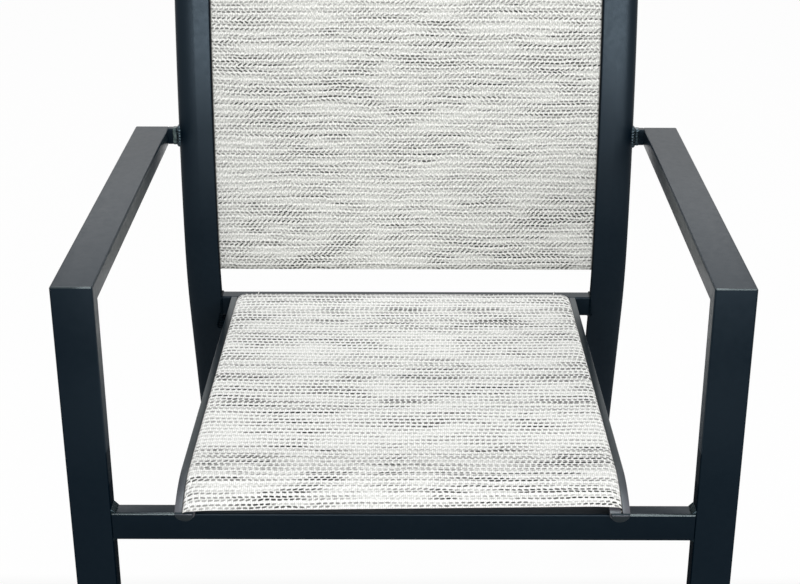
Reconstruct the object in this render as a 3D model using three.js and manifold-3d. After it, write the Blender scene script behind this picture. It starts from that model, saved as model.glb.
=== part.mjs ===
// Sling patio chair: a welded tube frame that holds a seat sling and a back sling.
// Millimetres, +Z up. The chair faces -Y, and left and right are as seen from in front of it.
import * as THREE from 'three';
import { mergeVertices } from 'three/addons/utils/BufferGeometryUtils.js';
import Module from 'manifold-3d';

const wasm = await Module();
wasm.setup();

// Overall sizes
const overallWidth = 648;
const armHeight = 640;
const armLength = 492;
const uprightTopHeight = 909;

// Gaps that pieces keep where they are welded, seated or pushed together
const joinGap = 0.3;
const fitGap = 0.3;

// Arms and front legs, one size of rectangular tube
const armTubeWidth = 40;
const armTubeThickness = 20;
const armTubeWall = 1.5;
const armTubeCorner = 2;

// Crossbars
const barDepth = 18;
const frontBarHeight = 30;
const rearBarHeight = 25;
const barWall = 1.5;
const barCorner = 2.2;
const rearBarTop = 422.5;
const topBarDrop = 8;

// Block that joins each arm to its upright
const stubLength = 13;
const stubDepth = 14;
const stubInset = 0.5;
const stubCorner = 2;

// Uprights, one bent extrusion each, from the rear foot to the top of the back
const uprightWidth = 41;
const uprightDepth = 21;
const uprightInnerFace = 16;
const uprightNose = 24;
const uprightWall = 1.6;
const uprightCorner = 1.5;
const backBendHeight = 497;
const backBendRadius = 1488;
const backRecline = 10.9;
const legBendRadius = 350;
const rearLegSplay = 16;

// Slings, and the channels that hold their edges
const slingThickness = 0.8;
const splineRadius = 2;
const slotClearance = 0.5;
const channelDepth = 5.2;
const slingRollRadius = 3;
const backSlingBottomGap = 37.5;
const backSlingTopGap = 12;
const slingEndTrim = 1.5;

// Seat rails
const railWidth = 19;
const railDepth = 16;
const railWall = 1.5;
const railSlotFromEdge = 7.6;
const railSideGap = 16.6;
const railFrontReach = 9;
const railFrontSpread = 4.9;
const railFrontRadius = 102;
const railFrontDrop = 32;
const railSlope = 0.45;

// Plugs, caps and feet
const footHeight = 6;
const plugFlange = 2.5;
const plugLength = 14;
const railCapFlange = 2.5;
const railPegLength = 6;
const railPegGap = 0.6;
const topCapHeight = 3;

// How many flat steps stand for each kind of curve
const cornerSteps = 3;
const noseSteps = 12;
const channelSteps = 10;
const bendSteps = 5;

// Sizes that follow from the ones above
const innerHalfWidth = overallWidth / 2 - armTubeWidth;
const uprightOuter = innerHalfWidth - stubLength;
const uprightInner = uprightOuter - uprightWidth;
const uprightCentre = uprightOuter - uprightWidth / 2;
const loopInnerRadius = splineRadius + fitGap;
const loopOuterRadius = loopInnerRadius + slingThickness;
const channelRadius = loopOuterRadius + fitGap;
const slotHalf = slingThickness / 2 + slotClearance;

const radians = THREE.MathUtils.degToRad;
const degrees = THREE.MathUtils.radToDeg;
const xAxis = new THREE.Vector3(1, 0, 0);

// Plane outlines

function arc(x, y, radiusX, radiusY, from, to, steps) {
  const points = [];
  for (let i = 0; i <= steps; i++) {
    const angle = radians(from + (to - from) * i / steps);
    points.push(new THREE.Vector2(x + radiusX * Math.cos(angle), y + radiusY * Math.sin(angle)));
  }
  return points;
}

function circle(x, y, radius) {
  return arc(x, y, radius, radius, 0, 360, channelSteps + 2).slice(1);
}

function rectangle(width, height) {
  const x = width / 2;
  const y = height / 2;
  return [[-x, -y], [x, -y], [x, y], [-x, y]].map(([px, py]) => new THREE.Vector2(px, py));
}

function roundedRectangle(width, height, corner) {
  const x = width / 2 - corner;
  const y = height / 2 - corner;
  return [
    ...arc(x, y, corner, corner, 0, 90, cornerSteps),
    ...arc(-x, y, corner, corner, 90, 180, cornerSteps),
    ...arc(-x, -y, corner, corner, 180, 270, cornerSteps),
    ...arc(x, -y, corner, corner, 270, 360, cornerSteps),
  ];
}

function section(outline, hole) {
  const shape = new THREE.Shape(outline);
  if (hole) shape.holes.push(new THREE.Path(hole));
  return shape;
}

function tubeSection(width, height, corner, wall) {
  return section(roundedRectangle(width, height, corner), rectangle(width - 2 * wall, height - 2 * wall));
}

// Turns an outline over, so that one drawing serves the left and the right side.
// The points are put in reverse as well, which keeps the outline running the same way round.
function facing(outline, side) {
  const turned = outline.map((p) => new THREE.Vector2(p.x * side, p.y));
  return side < 0 ? turned.reverse() : turned;
}

// Solids

function extrude(shape, length) {
  return new THREE.ExtrudeGeometry(shape, { depth: length, steps: 1, bevelEnabled: false });
}

// A straight piece from one point to another, with the section's x along the given axis
function beam(shape, from, to, sectionX) {
  const along = to.clone().sub(from);
  const length = along.length();
  along.normalize();
  const sectionY = along.clone().cross(sectionX);
  const place = new THREE.Matrix4().makeBasis(sectionX, sectionY, along).setPosition(from);
  return extrude(shape, length).applyMatrix4(place);
}

// A path with a station at each bend step, so that straight stretches need no steps
class StationPath extends THREE.Curve {
  constructor(stations) {
    super();
    this.stations = stations;
  }

  getUtoTmapping(u) {
    return u;
  }

  locate(t) {
    const at = t * (this.stations.length - 1);
    const low = Math.min(Math.floor(at), this.stations.length - 2);
    return [this.stations[low], this.stations[low + 1], at - low];
  }

  getPoint(t, target = new THREE.Vector3()) {
    const [a, b, share] = this.locate(t);
    return target.lerpVectors(a.point, b.point, share);
  }

  getTangent(t, target = new THREE.Vector3()) {
    const [a, b, share] = this.locate(t);
    return target.lerpVectors(a.along, b.along, share).normalize();
  }
}

// A section carried along stations in the YZ plane; the section's x points to -X
function sweep(shape, stations) {
  const extrudePath = new StationPath(stations);
  return new THREE.ExtrudeGeometry(shape, { extrudePath, steps: stations.length - 1, bevelEnabled: false });
}

function moveVertices(geometry, move) {
  const positions = geometry.attributes.position;
  const vertex = new THREE.Vector3();
  for (let i = 0; i < positions.count; i++) {
    move(vertex.fromBufferAttribute(positions, i));
    positions.setXYZ(i, vertex.x, vertex.y, vertex.z);
  }
  return geometry;
}

function toSolid(geometry) {
  const bare = geometry.clone();
  bare.deleteAttribute('normal');
  bare.deleteAttribute('uv');
  const merged = mergeVertices(bare);
  return new wasm.Manifold(new wasm.Mesh({
    numProp: 3,
    vertProperties: merged.attributes.position.array,
    triVerts: new Uint32Array(merged.index.array),
  }));
}

function fromSolid(solid) {
  const mesh = solid.getMesh();
  const geometry = new THREE.BufferGeometry();
  geometry.setAttribute('position', new THREE.BufferAttribute(mesh.vertProperties, 3));
  geometry.setIndex(new THREE.BufferAttribute(mesh.triVerts, 1));
  return geometry;
}

// A flange with a peg behind it. The tube's end is at z = 0 and the peg goes into it along +Z.
function plug(flangeOutline, flange, pegOutline, peg) {
  const plate = extrude(section(flangeOutline), flange).translate(0, 0, -joinGap - flange);
  const rod = extrude(section(pegOutline), peg + joinGap + flange / 2).translate(0, 0, -joinGap - flange / 2);
  return fromSolid(toSolid(plate).add(toSolid(rod)));
}

// Upright: its side curve and its section

const reclineStart = backBendHeight + backBendRadius * Math.sin(radians(backRecline));
const splayStart = backBendHeight - legBendRadius * Math.sin(radians(rearLegSplay));

// How far the side curve stands behind its foremost point at a height, and how it leans there
function uprightLean(height) {
  if (height >= backBendHeight) {
    const bend = Math.asin((Math.min(height, reclineStart) - backBendHeight) / backBendRadius);
    const straight = Math.max(height - reclineStart, 0);
    return { back: backBendRadius * (1 - Math.cos(bend)) + straight * Math.tan(bend), angle: bend };
  }
  const bend = Math.asin((backBendHeight - Math.max(height, splayStart)) / legBendRadius);
  const straight = Math.max(splayStart - height, 0);
  return { back: legBendRadius * (1 - Math.cos(bend)) + straight * Math.tan(bend), angle: -bend };
}

// The crossbars behind the slings, and where the back sling starts and ends between them
const rearBarMiddle = rearBarTop - rearBarHeight / 2;
const topBarMiddle = uprightTopHeight - topBarDrop - rearBarHeight / 2;
const backSlingBottom = rearBarTop + backSlingBottomGap;
const backSlingTop = topBarMiddle - rearBarHeight / 2 - backSlingTopGap;

// The stub is centred on the upright at the arm's mid height
const armMiddle = armHeight - armTubeThickness / 2;
const uprightFront = armLength - stubDepth / 2 - uprightLean(armMiddle).back;

function uprightStation(height) {
  const { back, angle } = uprightLean(height);
  return {
    point: new THREE.Vector3(0, uprightFront + back, height),
    along: new THREE.Vector3(0, Math.sin(angle), Math.cos(angle)),
  };
}

// Everything that follows the uprights has stations at the same heights, and so the same flat steps
function uprightStations(from, to) {
  const heights = [from, to, backSlingBottom, backSlingTop];
  for (let i = 0; i <= bendSteps; i++) {
    heights.push(splayStart + (backBendHeight - splayStart) * i / bendSteps);
    heights.push(backBendHeight + (reclineStart - backBendHeight) * i / bendSteps);
  }
  const kept = heights.filter((h) => h >= from && h <= to).sort((a, b) => a - b);
  return kept.filter((h, i) => i === 0 || h - kept[i - 1] > joinGap).map(uprightStation);
}

// Half the thickness between the inner face and the start of the rounded nose
function uprightHalf(inward) {
  const innerX = uprightWidth / 2 - uprightCorner;
  const noseX = uprightNose - uprightWidth / 2;
  const share = (innerX - inward) / (innerX - noseX);
  return (uprightInnerFace + (uprightDepth - uprightInnerFace) * share) / 2;
}

// The outline without its channel, x pointing inward, grown all round by a margin
function uprightBlank(grow) {
  const innerX = uprightWidth / 2 - uprightCorner;
  const half = uprightInnerFace / 2 - uprightCorner;
  const corner = uprightCorner + grow;
  const nose = uprightNose - uprightWidth / 2;
  return [
    ...arc(innerX, -half, corner, corner, -90, 0, cornerSteps),
    ...arc(innerX, half, corner, corner, 0, 90, cornerSteps),
    ...arc(nose, 0, uprightNose + grow, uprightDepth / 2 + grow, 90, 270, noseSteps),
  ];
}

function uprightOutline() {
  const blank = uprightBlank(0);
  const face = uprightWidth / 2;
  const channelX = face - channelDepth;
  const mouth = degrees(Math.asin(slotHalf / channelRadius));
  const channel = arc(channelX, 0, channelRadius, channelRadius, -mouth, mouth - 360, channelSteps);
  return [
    ...blank.slice(0, cornerSteps + 1),
    new THREE.Vector2(face, -slotHalf),
    ...channel,
    new THREE.Vector2(face, slotHalf),
    ...blank.slice(cornerSteps + 1),
  ];
}

// The hollow beside the channel. It starts on the nose's own curve where the channel reaches that far.
function uprightChamber(grow) {
  const wallX = uprightWidth / 2 - channelDepth - channelRadius - uprightWall + grow;
  const half = uprightHalf(wallX) - uprightWall + grow;
  const nose = uprightNose - uprightWidth / 2;
  const reach = uprightNose - uprightWall + grow;
  const start = 90 + degrees(Math.asin(Math.max(nose - wallX, 0) / reach));
  return [
    ...(wallX > nose ? [new THREE.Vector2(wallX, -half), new THREE.Vector2(wallX, half)] : []),
    ...arc(nose, 0, reach, uprightDepth / 2 - uprightWall + grow, start, 360 - start, noseSteps),
  ];
}

const uprightTubeBottom = footHeight + joinGap;

function backUpright(side) {
  const shape = section(facing(uprightOutline(), side), facing(uprightChamber(0), side));
  const stations = uprightStations(uprightTubeBottom, uprightTopHeight);
  const { point, along } = stations[0];
  const offset = new THREE.Vector3();
  const tube = moveVertices(sweep(shape, stations), (v) => {
    const height = offset.copy(v).sub(point).dot(along);
    if (Math.abs(height) < joinGap) v.addScaledVector(along, (point.z - v.z) / along.z);
  });
  return tube.translate(side * uprightCentre, 0, 0);
}

function uprightTopCap(side) {
  const end = uprightStation(uprightTopHeight);
  const down = end.along.clone().negate();
  const inward = xAxis.clone().multiplyScalar(-1);
  const sectionY = down.clone().cross(inward);
  const place = new THREE.Matrix4().makeBasis(inward, sectionY, down).setPosition(end.point);
  const peg = facing(uprightChamber(-fitGap), side);
  const cap = plug(facing(uprightBlank(0), side), topCapHeight, peg, plugLength);
  return cap.applyMatrix4(place).translate(side * uprightCentre, 0, 0);
}

// The rear leg meets the floor at a slant, so its foot is the level slice of the leg's section
function rearFoot(side) {
  const slant = Math.tan(radians(rearLegSplay));
  const stretch = 1 / Math.cos(radians(rearLegSplay));
  const level = (outline) => facing(outline, -side).map((p) => new THREE.Vector2(p.x, p.y * stretch));
  const foot = plug(level(uprightBlank(0)), footHeight, level(uprightChamber(-fitGap)), plugLength);
  moveVertices(foot, (v) => { if (v.z > 0) v.y -= v.z * slant; });
  const end = uprightStation(uprightTubeBottom).point;
  return foot.translate(side * uprightCentre, end.y, end.z);
}

// Arms, front legs and what closes their ends

const mitreStep = joinGap / Math.SQRT2;
const armEnd = armLength - plugFlange - joinGap;

function arm(side) {
  const x = side * (overallWidth - armTubeWidth) / 2;
  const shape = tubeSection(armTubeWidth, armTubeThickness, armTubeCorner, armTubeWall);
  const from = new THREE.Vector3(x, 0, armMiddle);
  const tube = beam(shape, from, new THREE.Vector3(x, armEnd, armMiddle), xAxis);
  return moveVertices(tube, (v) => { if (v.y < joinGap) v.y = armHeight - v.z + mitreStep; });
}

function frontLeg(side) {
  const x = side * (overallWidth - armTubeWidth) / 2;
  const y = armTubeThickness / 2;
  const shape = tubeSection(armTubeWidth, armTubeThickness, armTubeCorner, armTubeWall);
  const from = new THREE.Vector3(x, y, footHeight + joinGap);
  const tube = beam(shape, from, new THREE.Vector3(x, y, armHeight), xAxis);
  return moveVertices(tube, (v) => { if (v.z > armHeight - joinGap) v.z = armHeight - v.y - mitreStep; });
}

function armTubePlug(flange) {
  const inside = 2 * (armTubeWall + fitGap);
  const peg = rectangle(armTubeWidth - inside, armTubeThickness - inside);
  return plug(roundedRectangle(armTubeWidth, armTubeThickness, armTubeCorner), flange, peg, plugLength);
}

function armEndPlug(side) {
  const place = new THREE.Matrix4().makeRotationX(radians(90));
  const x = side * (overallWidth - armTubeWidth) / 2;
  return armTubePlug(plugFlange).applyMatrix4(place).translate(x, armEnd, armMiddle);
}

function frontFoot(side) {
  const x = side * (overallWidth - armTubeWidth) / 2;
  return armTubePlug(footHeight).translate(x, armTubeThickness / 2, footHeight + joinGap);
}

// The stub runs from the arm's inner side to the upright's rounded outer side, and is cut to fit it
function armStub(side) {
  const height = armTubeThickness - 2 * stubInset;
  const y = armLength - stubDepth / 2;
  const from = new THREE.Vector3(side * (innerHalfWidth - joinGap), y, armMiddle);
  const to = new THREE.Vector3(side * uprightCentre, y, armMiddle);
  const shape = section(roundedRectangle(height, stubDepth, stubCorner));
  const bar = toSolid(beam(shape, from, to, new THREE.Vector3(0, 0, 1)));
  const stations = uprightStations(armHeight - 2 * armTubeThickness, armHeight + armTubeThickness);
  const blank = sweep(section(facing(uprightBlank(joinGap), side)), stations);
  return fromSolid(bar.subtract(toSolid(blank.translate(side * uprightCentre, 0, 0))));
}

// Crossbars

function crossbar(halfLength, height, y, z) {
  const shape = tubeSection(height, barDepth, barCorner, barWall);
  const from = new THREE.Vector3(-halfLength, y, z);
  return beam(shape, from, new THREE.Vector3(halfLength, y, z), new THREE.Vector3(0, 0, 1));
}

const rearBarY = uprightStation(rearBarMiddle).point.y;
const topBarY = uprightStation(topBarMiddle).point.y;

// Seat rail: its side curve runs back from its front end, first up round the bend, then nearly level

const railRearY = rearBarY - barDepth / 2 - joinGap;
const railFrontAngle = radians(railFrontDrop);
const railSlopeAngle = radians(railSlope);
const railBendY = -railFrontReach + railFrontRadius * (Math.sin(railFrontAngle) + Math.sin(railSlopeAngle));
const railBendZ = rearBarTop + (railRearY - railBendY) * Math.tan(railSlopeAngle);

function railStationAt(angle) {
  const y = railBendY - railFrontRadius * (Math.sin(angle) + Math.sin(railSlopeAngle));
  const z = railBendZ - railFrontRadius * (Math.cos(railSlopeAngle) - Math.cos(angle));
  return {
    point: new THREE.Vector3(0, y, z),
    along: new THREE.Vector3(0, Math.cos(angle), Math.sin(angle)),
  };
}

// Stations from the front end to the rear end, drawn in by a trim at both ends
function railStations(trim) {
  const stations = [railStationAt(railFrontAngle - trim / railFrontRadius)];
  for (let i = 1; i <= bendSteps; i++) {
    stations.push(railStationAt(railFrontAngle - (railFrontAngle + railSlopeAngle) * i / bendSteps));
  }
  const along = stations[bendSteps].along;
  const rear = stations[bendSteps].point.clone().addScaledVector(along, railRearY - railBendY - trim);
  stations.push({ point: rear, along });
  return stations;
}

const railRearX = uprightInner - railSideGap - railWidth / 2;
const railSlotX = railRearX + railWidth / 2 - railSlotFromEdge;
const slingFlatHalf = railSlotX - slingRollRadius;

// The rails stand wider apart at the front; everything on the seat follows them
function spreadSeat(geometry) {
  return moveVertices(geometry, (v) => {
    const share = THREE.MathUtils.clamp(v.x / slingFlatHalf, -1, 1);
    v.x += share * railFrontSpread * (railRearY - v.y) / (railRearY + railFrontReach);
  });
}

// Outlines of the rail have x pointing inward and y up, with the top strip at y = 0
function railOutline() {
  const slotX = railSlotFromEdge - railWidth / 2;
  const mouth = degrees(Math.asin(slotHalf / channelRadius));
  return [
    ...arc(0, 0, railWidth / 2, railDepth, 180, 360, noseSteps),
    new THREE.Vector2(slotX + slotHalf, 0),
    ...arc(slotX, -channelDepth, channelRadius, channelRadius, 90 - mouth, mouth - 270, channelSteps),
    new THREE.Vector2(slotX - slotHalf, 0),
  ];
}

function railChamber(shrink) {
  const width = railWidth / 2 - railWall - shrink;
  const depth = railDepth - railWall - shrink;
  const ceiling = channelDepth + channelRadius + railWall + shrink;
  const from = 180 + degrees(Math.asin(ceiling / depth));
  return arc(0, 0, width, depth, from, 540 - from, cornerSteps + 2);
}

// Where the rail's underside passes over the front bar, level with the bar's centre line
const barCrossing = Math.asin((railBendY - barDepth / 2) / railFrontRadius - Math.sin(railSlopeAngle));
const frontBarTop = railStationAt(barCrossing).point.z - railDepth / Math.cos(barCrossing);

function frontCrossbar() {
  return crossbar(innerHalfWidth - joinGap, frontBarHeight, barDepth / 2, frontBarTop - frontBarHeight / 2);
}

// Takes away what would stand in the front bar, or over it as far up as a given height
function clearOfFrontBar(geometry, top) {
  const bottom = frontBarTop - frontBarHeight;
  const notch = new THREE.BoxGeometry(2 * innerHalfWidth, barDepth + 2 * joinGap, top - bottom);
  notch.translate(0, barDepth / 2, (top + bottom) / 2);
  return fromSolid(toSolid(geometry).subtract(toSolid(notch)));
}

function seatRail(side) {
  const shape = section(facing(railOutline(), side), facing(railChamber(0), side));
  const rail = spreadSeat(sweep(shape, railStations(0)).translate(side * railRearX, 0, 0));
  return clearOfFrontBar(rail, frontBarTop + joinGap);
}

function railFrontCap(side) {
  const { point, along } = railStationAt(railFrontAngle);
  const flangeOutline = arc(0, 0, railWidth / 2, railDepth, 180, 360, noseSteps);
  const peg = facing(railChamber(railPegGap), side);
  const cap = plug(facing(flangeOutline, side), railCapFlange, peg, railPegLength);
  const inward = xAxis.clone().multiplyScalar(-1);
  const place = new THREE.Matrix4().makeBasis(inward, along.clone().cross(inward), along).setPosition(point);
  return clearOfFrontBar(spreadSeat(cap.applyMatrix4(place).translate(side * railRearX, 0, 0)), rearBarTop);
}

// Slings: a band whose two edges are sewn round a spline

// A band of the sling's thickness along a centre line, as the points of one side and of the other
function bandSides(centreLine) {
  const sides = [[], []];
  centreLine.forEach((p, i) => {
    const before = centreLine[Math.max(i - 1, 0)];
    const after = centreLine[Math.min(i + 1, centreLine.length - 1)];
    const along = after.clone().sub(before).normalize();
    const across = new THREE.Vector2(-along.y, along.x).multiplyScalar(slingThickness / 2);
    sides[0].push(p.clone().add(across));
    sides[1].push(p.clone().sub(across));
  });
  return sides;
}

// The sling's cross-section from the loop at -x to the loop at +x. Turn is the angle at which
// the band leaves the right loop: 90 degrees upward on the seat, 180 degrees inward on the back.
function slingSection(halfLine, loopX, loopY, turn) {
  const mirrored = (points) => points.map((p) => new THREE.Vector2(-p.x, p.y));
  const line = [...mirrored(halfLine), ...halfLine.slice().reverse()];
  const [upper, lower] = bandSides(line);
  const neck = degrees(Math.asin(slingThickness / 2 / loopOuterRadius));
  const radius = loopOuterRadius;
  const rightLoop = arc(loopX, loopY, radius, radius, turn - neck, turn + neck - 360, channelSteps + 2);
  const leftLoop = mirrored(rightLoop).reverse();
  const inner = upper.length - 1;
  const band = [upper.slice(1, inner), lower.slice(1, inner).reverse()];
  const shape = section([...leftLoop, ...band[0], ...rightLoop, ...band[1]]);
  for (const x of [-loopX, loopX]) shape.holes.push(new THREE.Path(circle(x, loopY, loopInnerRadius)));
  return shape;
}

function seatSling() {
  const loopY = -channelDepth;
  const rollY = slingThickness / 2;
  const roll = arc(railSlotX - slingRollRadius, rollY, slingRollRadius, slingRollRadius, 0, 90, cornerSteps);
  const halfLine = [new THREE.Vector2(railSlotX, loopY + loopOuterRadius), ...roll];
  return spreadSeat(sweep(slingSection(halfLine, railSlotX, loopY, 90), railStations(slingEndTrim)));
}

const backLoopX = uprightInner + channelDepth;

function backSling() {
  const halfLine = [
    new THREE.Vector2(backLoopX - loopOuterRadius, 0),
    new THREE.Vector2(uprightInner - channelDepth, 0),
  ];
  return sweep(slingSection(halfLine, backLoopX, 0, 180), uprightStations(backSlingBottom, backSlingTop));
}

function seatSpline(side) {
  const shape = section(circle(0, -channelDepth, splineRadius));
  return spreadSeat(sweep(shape, railStations(slingEndTrim)).translate(side * railSlotX, 0, 0));
}

function backSpline(side) {
  const shape = section(circle(0, 0, splineRadius));
  return sweep(shape, uprightStations(backSlingBottom, backSlingTop)).translate(side * backLoopX, 0, 0);
}

// Materials

const powderCoat = { color: 0x2b3238, roughness: 0.45, metalness: 0.35 };
const plastic = { color: 0x1d2124, roughness: 0.6, metalness: 0 };
const slingCloth = { color: 0xdcdcd6, roughness: 0.9, metalness: 0 };
const splinePlastic = { color: 0xcfcfc8, roughness: 0.5, metalness: 0 };

// Assembly

const chair = new THREE.Group();

function add(name, geometry, finish) {
  const mesh = new THREE.Mesh(geometry, new THREE.MeshStandardMaterial(finish));
  mesh.name = name;
  chair.add(mesh);
}

for (const [sideName, side] of [['left', -1], ['right', 1]]) {
  add(`${sideName}_arm`, arm(side), powderCoat);
  add(`${sideName}_front_leg`, frontLeg(side), powderCoat);
  add(`${sideName}_arm_stub`, armStub(side), powderCoat);
  add(`${sideName}_back_upright`, backUpright(side), powderCoat);
  add(`${sideName}_seat_rail`, seatRail(side), powderCoat);
  add(`${sideName}_arm_end_plug`, armEndPlug(side), plastic);
  add(`${sideName}_upright_top_cap`, uprightTopCap(side), plastic);
  add(`${sideName}_rail_front_cap`, railFrontCap(side), plastic);
  add(`${sideName}_front_foot`, frontFoot(side), plastic);
  add(`${sideName}_rear_foot`, rearFoot(side), plastic);
  add(`${sideName}_seat_spline`, seatSpline(side), splinePlastic);
  add(`${sideName}_back_spline`, backSpline(side), splinePlastic);
}
add('front_crossbar', frontCrossbar(), powderCoat);
add('rear_crossbar', crossbar(uprightInner - joinGap, rearBarHeight, rearBarY, rearBarMiddle), powderCoat);
add('top_crossbar', crossbar(uprightInner - joinGap, rearBarHeight, topBarY, topBarMiddle), powderCoat);
add('seat_sling', seatSling(), slingCloth);
add('back_sling', backSling(), slingCloth);

// The origin is under the middle of the chair's footprint, on the floor
const bounds = new THREE.Box3().setFromObject(chair);
chair.position.y = -(bounds.min.y + bounds.max.y) / 2;

export default chair;
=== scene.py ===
"""Sling patio chair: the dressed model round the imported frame. Metres, +Z up, the chair faces -Y."""

import math
import random

import bmesh
import bpy
from mathutils import Matrix, Vector


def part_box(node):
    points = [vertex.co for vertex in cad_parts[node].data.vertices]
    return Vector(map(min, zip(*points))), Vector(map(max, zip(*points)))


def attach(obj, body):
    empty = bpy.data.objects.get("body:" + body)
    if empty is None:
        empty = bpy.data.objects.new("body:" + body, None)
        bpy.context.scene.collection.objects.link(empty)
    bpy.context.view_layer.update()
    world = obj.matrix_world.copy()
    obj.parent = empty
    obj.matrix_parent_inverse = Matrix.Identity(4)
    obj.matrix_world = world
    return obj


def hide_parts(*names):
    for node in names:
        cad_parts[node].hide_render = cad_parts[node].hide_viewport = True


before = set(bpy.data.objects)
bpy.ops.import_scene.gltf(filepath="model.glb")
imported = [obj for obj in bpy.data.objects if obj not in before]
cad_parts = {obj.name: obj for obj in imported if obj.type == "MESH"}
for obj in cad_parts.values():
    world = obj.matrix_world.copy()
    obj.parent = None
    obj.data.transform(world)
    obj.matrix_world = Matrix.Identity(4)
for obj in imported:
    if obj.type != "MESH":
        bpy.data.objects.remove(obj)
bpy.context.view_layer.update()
scene = bpy.context.scene
mm = 0.001

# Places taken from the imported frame; on this chair the front bar lies a little lower

front_bar_drop = Vector((0, 0, 1 * mm))
leg_low, leg_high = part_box("right_front_leg")
arm_low, arm_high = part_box("right_arm")
stub_low, stub_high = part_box("right_arm_stub")
upright_low, upright_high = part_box("right_back_upright")
front_bar_low, front_bar_high = [corner - front_bar_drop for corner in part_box("front_crossbar")]
rear_bar_low, rear_bar_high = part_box("rear_crossbar")
top_bar_low, top_bar_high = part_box("top_crossbar")
back_cloth_low, back_cloth_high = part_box("back_sling")
end_plug_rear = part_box("right_arm_end_plug")[1].y

front = leg_low.y
arm_top = arm_high.z
arm_middle = (arm_high.z + arm_low.z) / 2
arm_inner = arm_low.x
arm_outer = arm_high.x
tube_thickness = leg_high.y - leg_low.y

gap = 0.3 * mm
near = 0.1 * mm

# Bends of the uprights

bend_height = 0.497
bend_radius = 1.488
recline = math.radians(10.9)
leg_bend_radius = 0.350
splay = math.radians(16)
upright_centre = (upright_low.x + upright_high.x) / 2
upright_half = (upright_high.x - upright_low.x) / 2
upright_top = 0.909
recline_start = bend_height + bend_radius * math.sin(recline)
splay_start = bend_height - leg_bend_radius * math.sin(splay)

# Section of the uprights, x measured inward from the middle

face_half = 8 * mm
belly_half = 10.5 * mm
nose_length = 24 * mm
nose_squareness = 2.5
upright_corner = 1.5 * mm
channel_depth = 5.2 * mm
channel_radius = 3.4 * mm
slot_half = 0.9 * mm

# Side curve and section of the seat rails

rail_width = 19.5 * mm
rail_depth = 16 * mm
rail_slot_from_edge = 8.1 * mm
rail_reach = 9 * mm
rail_radius = 0.102
rail_drop = math.radians(32)
rail_slope = math.radians(0.45)
rail_spread = 5.8 * mm
rail_overrun = 2.2 * mm
seat_offset = -1.2 * mm
seat_turn = -2.1 * mm
rail_side_gap = 16.1 * mm
rail_rear = rear_bar_low.y - gap
rail_bend_y = front - rail_reach + rail_radius * (math.sin(rail_drop) + math.sin(rail_slope))
rail_bend_z = rear_bar_high.z + (rail_rear - rail_bend_y) * math.tan(rail_slope)
rail_centre = upright_low.x - rail_side_gap - rail_width / 2
rail_slot = rail_centre + rail_width / 2 - rail_slot_from_edge

# Slings

cloth_thickness = 0.8 * mm
loop_radius = 2.7 * mm
roll_radius = 3 * mm
front_trim = 3.0 * mm
back_trim = 0.4 * mm
straight_out = 2 * mm
flat_half = rail_slot - roll_radius
seat_mouth = flat_half + roll_radius * math.pi / 2
back_mouth = upright_low.x


# Small helpers


def shift(x=0, y=0, z=0):
    return Matrix.Translation((x, y, z))


def arc(x, y, radius_x, radius_y, start, end, steps):
    """Points of an arc in degrees, first and last included."""
    turns = [math.radians(start + (end - start) * i / steps) for i in range(steps + 1)]
    return [(x + radius_x * math.cos(a), y + radius_y * math.sin(a)) for a in turns]


def rounded(width, height, corner, steps=6):
    x, y = width / 2 - corner, height / 2 - corner
    return (
        arc(x, y, corner, corner, 0, 90, steps)
        + arc(-x, y, corner, corner, 90, 180, steps)
        + arc(-x, -y, corner, corner, 180, 270, steps)
        + arc(x, -y, corner, corner, 270, 360, steps)
    )


def station(y, z, angle):
    """A place on a path in the YZ plane: local x is X, local y lies across the path, local z along it."""
    along = Vector((0, math.cos(angle), math.sin(angle)))
    across = Vector((0, -math.sin(angle), math.cos(angle)))
    place = Matrix((Vector((1, 0, 0)), across, along)).transposed().to_4x4()
    return shift(0, y, z) @ place


def start_outline(bm, outline, place, closed=True):
    """The first section of a sweep: its vertices in order and its edges."""
    verts = [bm.verts.new(place @ Vector((x, y, 0))) for x, y in outline]
    pairs = list(zip(verts, verts[1:]))
    if closed:
        pairs.append((verts[-1], verts[0]))
    return verts, [bm.edges.new(pair) for pair in pairs]


def extend(bm, edges, move):
    """Extrudes a section's edges and moves the new ones: one step of a sweep."""
    made = bmesh.ops.extrude_edge_only(bm, edges=edges)["geom"]
    verts = [g for g in made if isinstance(g, bmesh.types.BMVert)]
    new = set(verts)
    bmesh.ops.transform(bm, matrix=move, verts=verts)
    return [g for g in made if isinstance(g, bmesh.types.BMEdge) and set(g.verts) <= new]


def close_end(bm, edges):
    bmesh.ops.contextual_create(bm, geom=edges)


def sweep(outline, stations):
    """A closed solid: the outline carried along the stations, with both ends filled."""
    bm = bmesh.new()
    edges = start_outline(bm, outline, stations[0])[1]
    close_end(bm, edges)
    for before, after in zip(stations, stations[1:]):
        edges = extend(bm, edges, after @ before.inverted())
    close_end(bm, edges)
    bmesh.ops.recalc_face_normals(bm, faces=bm.faces)
    return bm


def bar(low, high, corner, between=()):
    """A rounded rectangular tube across the chair, with extra loops at the places between its ends."""
    outline = rounded(high.y - low.y, high.z - low.z, corner)
    turn = Matrix(((0, 0, 1), (1, 0, 0), (0, 1, 0))).to_4x4()
    middle = shift(0, (low.y + high.y) / 2, (low.z + high.z) / 2)
    return sweep(outline, [shift(x) @ middle @ turn for x in (low.x, *between, high.x)])


def soften(bm, edges, radius, segments=3):
    bmesh.ops.bevel(
        bm, geom=edges, offset=radius, offset_type="OFFSET", segments=segments,
        profile=0.5, affect="EDGES", clamp_overlap=True, material=-1,
    )


def joined(*shapes):
    """Several bmeshes as one."""
    whole = bmesh.new()
    for shape in shapes:
        mesh = bpy.data.meshes.new("shape")
        shape.to_mesh(mesh)
        shape.free()
        whole.from_mesh(mesh)
        bpy.data.meshes.remove(mesh)
    return whole


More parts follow.
